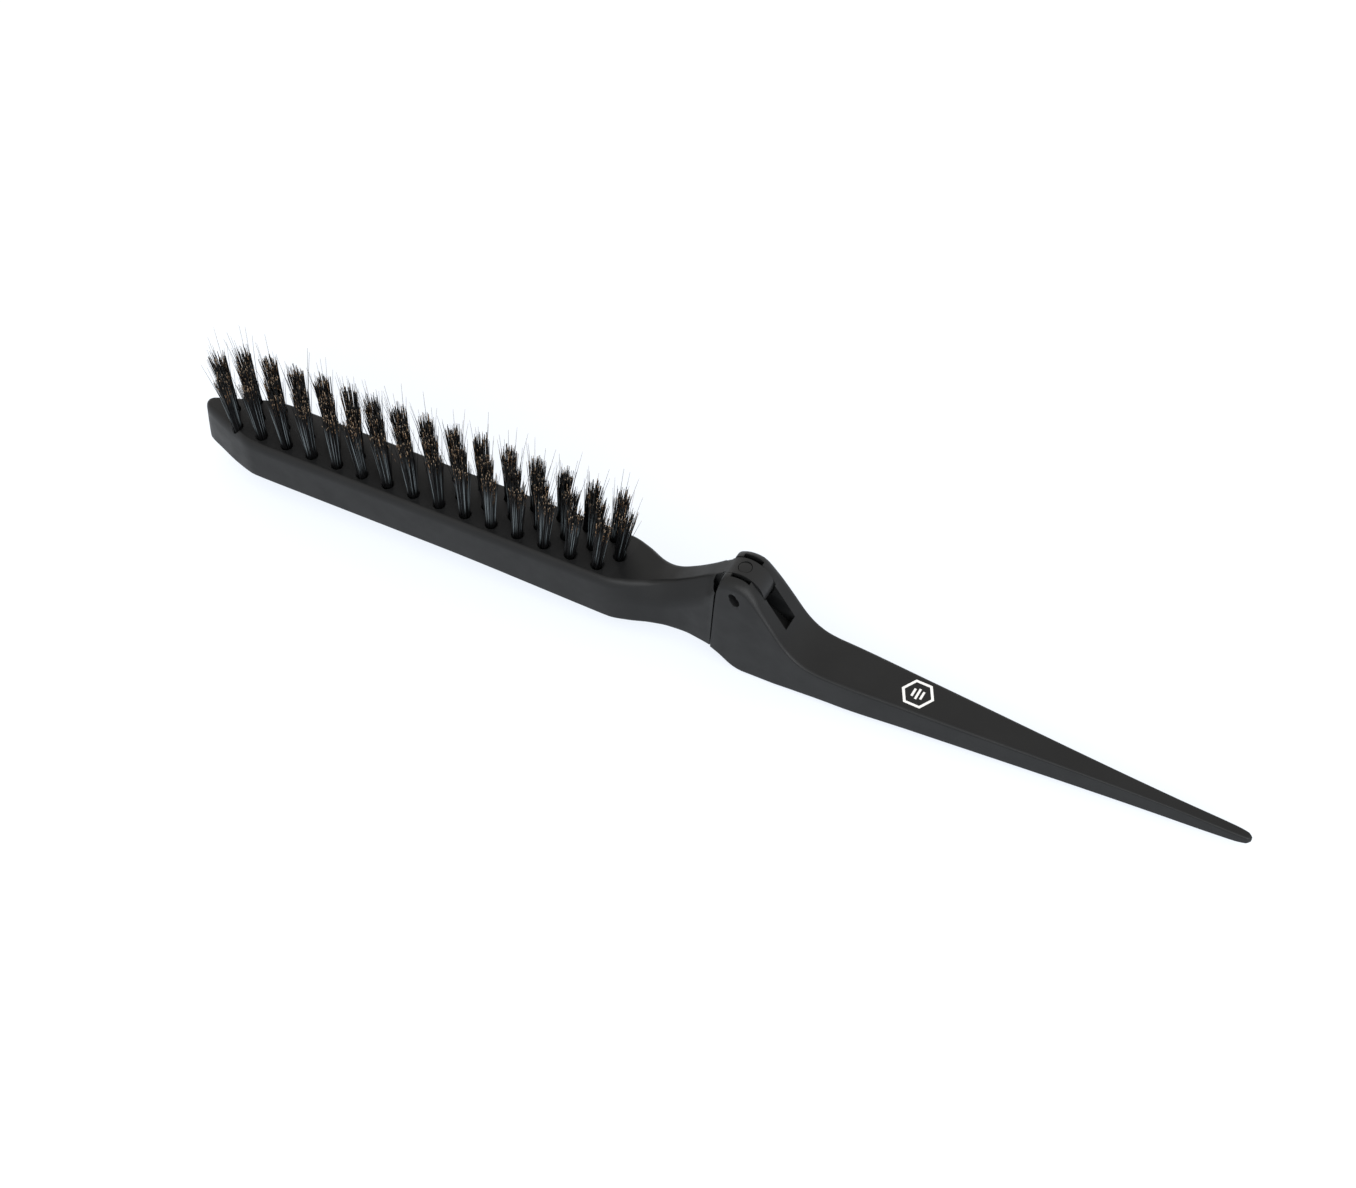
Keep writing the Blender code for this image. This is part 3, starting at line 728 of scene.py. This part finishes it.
def strand_paths(rng, mouth, way, across, length):
    """Yields each strand's points, its radii along them and its tone, for one tuft."""
    side = way.cross(across).normalized()
    for i in range(STRANDS + STRAYS):
        stray = i >= STRANDS
        share = math.sqrt((i + 0.5) / STRANDS) if not stray else rng.uniform(0.3, 1.0)
        turn = i * GOLDEN_ANGLE + rng.uniform(-0.35, 0.35)
        outward = across * math.cos(turn) + side * math.sin(turn)
        packed = PACKED_RADIUS * share
        reach = length * rng.uniform(*(STRAY_REACH if stray else STRAND_REACH))
        spread = packed * rng.uniform(*STRAND_SPREAD)
        if stray:
            spread += rng.uniform(-0.2, 1.9) * MM
            reach = min(reach, length * STRAY_REACH_LIMIT)
        drift = Vector((rng.normal(0.0, 0.14), rng.normal(0.0, 0.14), 0.0)) * MM
        bow = outward.cross(way) * rng.normal(0.0, 0.10) * MM
        steps = 7 if stray else 6
        points = []
        for j in range(steps):
            t = j / (steps - 1)
            height = STRAND_FOOT + (reach - STRAND_FOOT) * t
            lift = max(height, 0.0) / length
            flare = packed + (spread - packed) * lift ** 1.25
            wave = math.sin(math.pi * t)
            points.append(mouth + way * height + outward * flare + drift * lift + bow * wave)
        base = rng.uniform(*(STRAY_RADIUS if stray else STRAND_RADIUS))
        tip = STRAY_TIP if stray else rng.uniform(*STRAND_TIP)
        radii = [base * MM * (1.0 + (tip - 1.0) * (j / (steps - 1)) ** 2) for j in range(steps)]
        yield points, radii, rng.uniform(0.4, 0.9) if stray else rng.uniform(0.0, 1.0)


def bristle_mesh(name, rng, mouth, way, length):
    """One tuft's strands as thin three-sided rods, with each strand's tone and place along it."""
    across = Vector((0.0, 1.0, 0.0))
    across = (across - way * across.dot(way)).normalized()
    side = way.cross(across)
    verts, faces, tones, places = [], [], [], []
    sides = STRAND_SIDES
    for points, radii, tone in strand_paths(rng, mouth, way, across, length):
        start = len(verts)
        twist = rng.uniform(0.0, 2.0 * math.pi)
        last = len(points) - 1
        for j, (point, radius) in enumerate(zip(points, radii)):
            for k in range(sides):
                angle = twist + 2.0 * math.pi * k / sides
                verts.append(point + (across * math.cos(angle) + side * math.sin(angle)) * radius)
                tones.append(tone)
                places.append(j / last)
        for j in range(last):
            for k in range(sides):
                a, b = start + j * sides + k, start + j * sides + (k + 1) % sides
                faces.append((a, b, b + sides, a + sides))
        faces.append([start + k for k in reversed(range(sides))])
        faces.append([start + last * sides + k for k in range(sides)])
    mesh = bpy.data.meshes.new(name)
    mesh.from_pydata(verts, [], faces)
    for attribute, values in (("strand", tones), ("along", places)):
        mesh.attributes.new(attribute, "FLOAT", "POINT").data.foreach_set("value", values)
    mesh.shade_smooth()
    mesh.set_sharp_from_angle(angle=math.radians(125.0))
    return mesh


def make_bristles(material, surface_z):
    for i, name in enumerate(tuft_nodes()):
        rng = np.random.default_rng(TUFT_SEED + i)
        mouth, way = tuft_mouth(name, surface_z)
        length = TUFT_LENGTH * rng.uniform(*TUFT_LENGTH_SPREAD)
        piece = name.replace("tuft_", "bristles_")
        tuft = add_object(piece, bristle_mesh(piece, rng, mouth, way, length))
        tuft.data.materials.append(material)
        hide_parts(name)
        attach(tuft, "head")


# ---------------------------------------------------------------- hinge pieces and mark


def make_pin(material):
    """A turned pin with a small lead at each end, sunk in the cheeks."""
    low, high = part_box("hinge_pin")
    radius, half, lead = (high.z - low.z) / 2.0, RECESS_FLOOR - PIN_SHORT, PIN_LEAD
    profile = (
        (radius - lead, -half),
        (radius, lead - half),
        (radius, half - lead),
        (radius - lead, half),
    )
    pin = add_object("pin_turned", lathe_mesh("pin_turned", profile, FINE_SIDES, "Y"), PIN)
    pin.data.shade_smooth()
    pin.data.set_sharp_from_angle(angle=math.radians(30.0))
    pin.data.materials.append(material)
    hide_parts("hinge_pin")
    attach(pin, "handle")


def make_button(material):
    """The lock button: a slightly domed round head on a flat cross foot."""
    low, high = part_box("lock_button")
    foot_top = PIN.z + BUTTON_FOOT_TOP
    rim = high.z - PIN.z - DOME_DROP
    turns = np.linspace(0.0, DOME_END, 9)
    dome = [(BUTTON_RADIUS * math.cos(a), rim + DOME_RISE * math.sin(a)) for a in turns]
    profile = [(BUTTON_RADIUS, BUTTON_WALL_LOW), *dome]
    button = add_object("button_head", lathe_mesh("button_head", profile, FINE_SIDES), PIN)
    foot = box_mesh("button_foot", (low.x, low.y, low.z), (high.x, high.y, foot_top))
    combine(button, [add_object("button_foot", foot)], "UNION")
    finish_edges(button, 0.06 * MM)
    button.data.materials.clear()
    button.data.materials.append(material)
    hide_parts("lock_button")
    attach(button, "lock_button")


def make_mark(material, handle):
    """A generic printed mark: a hexagon outline round three short bars."""
    tree = BVHTree.FromObject(handle, bpy.context.evaluated_depsgraph_get())

    def on_surface(x, y):
        hit, _, _, _ = tree.ray_cast(Vector((MARK_X + x, y, 0.05)), Vector((0.0, 0.0, -1.0)))
        return hit + Vector((0.0, 0.0, MARK_LIFT))

    def hexagon(radius, steps=8):
        points = []
        for k in range(6):
            one, two = math.radians(60.0 * k), math.radians(60.0 * (k + 1))
            for j in range(steps):
                t = j / steps
                x = (1.0 - t) * math.cos(one) + t * math.cos(two)
                y = (1.0 - t) * math.sin(one) + t * math.sin(two)
                points.append((radius * x, radius * y))
        return points

    def fill(bm):
        inside = MARK_RADIUS - MARK_STROKE * 1.15
        outer = [bm.verts.new(on_surface(x, y)) for x, y in hexagon(MARK_RADIUS)]
        inner = [bm.verts.new(on_surface(x, y)) for x, y in hexagon(inside)]
        for i in range(len(outer)):
            j = (i + 1) % len(outer)
            bm.faces.new((outer[i], outer[j], inner[j], inner[i]))
        for offset in (-1.0, 0.0, 1.0):
            half_x, half_y = 0.24 * MM, (1.35 - 0.35 * abs(offset)) * MM
            x = offset * 0.95 * MM
            cells = 6
            for k in range(cells):
                y0 = -half_y + 2.0 * half_y * k / cells
                y1 = -half_y + 2.0 * half_y * (k + 1) / cells
                corners = ((x - half_x, y0), (x + half_x, y0), (x + half_x, y1), (x - half_x, y1))
                bm.faces.new([bm.verts.new(on_surface(*corner)) for corner in corners])

    mark = add_object("printed_mark", mesh_from("printed_mark", fill))
    mark.data.materials.append(material)
    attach(mark, "handle")


def make_spring(material):
    """The coil under the button, as a round wire."""
    low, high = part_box("lock_spring")
    radius = (high.x - low.x) / 2.0 - SPRING_WIRE
    bottom, top = low.z + SPRING_WIRE, high.z - SPRING_WIRE
    sides, per_turn, turns = 10, 28, 3
    count = turns * per_turn
    spots = [2.0 * math.pi * k / sides for k in range(sides)]
    up = Vector((0.0, 0.0, 1.0))

    def fill(bm):
        rings = []
        for i in range(count + 1):
            angle = 2.0 * math.pi * i / per_turn
            out = Vector((math.cos(angle), math.sin(angle), 0.0))
            centre = out * radius + Vector((0.0, 0.0, bottom + (top - bottom) * i / count))
            ring = [(out * math.cos(a) + up * math.sin(a)) * SPRING_WIRE for a in spots]
            rings.append([bm.verts.new(centre + offset) for offset in ring])
        for one, two in zip(rings, rings[1:]):
            for k in range(sides):
                j = (k + 1) % sides
                bm.faces.new((one[k], one[j], two[j], two[k]))
        bm.faces.new(rings[0])
        bm.faces.new(list(reversed(rings[-1])))

    spring = add_object("spring_coil", mesh_from("spring_coil", fill), (PIN.x, 0.0, 0.0))
    spring.data.shade_smooth()
    spring.data.set_sharp_from_angle(angle=math.radians(60.0))
    spring.data.materials.append(material)
    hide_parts("lock_spring")
    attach(spring, "head")
    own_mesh(spring)


# ---------------------------------------------------------------- stage


def make_camera():
    data = bpy.data.cameras.new("camera")
    data.lens = CAMERA_LENS
    data.sensor_width = CAMERA_SENSOR
    data.clip_start = 0.01
    camera = bpy.data.objects.new("camera", data)
    sin_a, cos_a = math.sin(CAMERA_AZIMUTH), math.cos(CAMERA_AZIMUTH)
    sin_e, cos_e = math.sin(CAMERA_ELEVATION), math.cos(CAMERA_ELEVATION)
    ahead = Vector((-sin_a * cos_e, cos_a * cos_e, -sin_e))
    level = Vector((cos_a, sin_a, 0.0))
    right = level * math.cos(CAMERA_ROLL) + level.cross(ahead) * math.sin(CAMERA_ROLL)
    up = right.cross(ahead)
    turn = Matrix((right, up, -ahead)).transposed().to_4x4()
    camera.matrix_world = Matrix.Translation(CAMERA_PLACE) @ turn
    bpy.context.scene.collection.objects.link(camera)
    bpy.context.scene.camera = camera


def make_floor():
    """A plain lit table top, clear from below so that the brush's underside can be looked at."""

    def fill(bm):
        bmesh.ops.create_grid(bm, x_segments=1, y_segments=1, size=FLOOR_SIZE)

    floor = add_object("floor", mesh_from("floor", fill), (0.0, 0.0, FLOOR_Z))
    made = new_material("pale_floor", 0.9)
    shader = shader_of(made)
    shader.inputs["Base Color"].default_value = (0.22, 0.22, 0.22, 1.0)
    shader.inputs["Specular IOR Level"].default_value = 0.1
    shader.inputs["Emission Color"].default_value = (0.87, 0.925, 1.0, 1.0)
    shader.inputs["Emission Strength"].default_value = 0.80
    sided = node(made, "ShaderNodeMixShader")
    clear = node(made, "ShaderNodeBsdfTransparent")
    output = made.node_tree.nodes["Material Output"]
    link(made, node(made, "ShaderNodeNewGeometry").outputs["Backfacing"], sided.inputs[0])
    link(made, shader.outputs["BSDF"], sided.inputs[1])
    link(made, clear.outputs["BSDF"], sided.inputs[2])
    link(made, sided.outputs["Shader"], output.inputs["Surface"])
    floor.data.materials.append(made)


def area_light(name, place, size, power):
    """A soft light aimed at the brush, hidden from the camera."""
    data = bpy.data.lights.new(name, "AREA")
    data.shape = "RECTANGLE"
    data.size, data.size_y = size
    data.energy = power
    data.color = LIGHT_COLOUR
    light = bpy.data.objects.new(name, data)
    light.location = place
    aim = Vector(LIGHT_AIM) - Vector(place)
    light.rotation_euler = aim.to_track_quat("-Z", "Y").to_euler()
    light.visible_camera = False
    bpy.context.scene.collection.objects.link(light)


def make_lights():
    bpy.context.scene.view_settings.view_transform = "Standard"
    world = bpy.data.worlds.new("world")
    world.use_nodes = True
    background = world.node_tree.nodes["Background"]
    background.inputs["Color"].default_value = (1.0, 0.98, 0.95, 1.0)
    background.inputs["Strength"].default_value = 1.4
    bpy.context.scene.world = world
    area_light("near_softbox", (0.45, -0.80, 0.36), (1.5, 0.6), 12.0)
    area_light("tail_softbox", (0.95, -0.38, 0.17), (0.75, 0.3), 4.6)


def main():
    surface_z = BED_Z * MM
    make_camera()
    dark, pale = (0.0045, 0.0047, 0.0050), (0.0059, 0.0061, 0.0064)
    plastic = soft_touch("soft_touch_black", dark, pale, 0.44)
    make_head(plastic, surface_z)
    handle = make_handle(plastic)
    make_bristles(bristle_material(), surface_z)
    steel = steel_material()
    make_pin(steel)
    make_spring(steel)
    dark, pale = (0.0060, 0.0062, 0.0064), (0.0080, 0.0082, 0.0084)
    make_button(soft_touch("button_black", dark, pale, 0.40))
    make_mark(ink_material(), handle)
    make_floor()
    make_lights()


main()
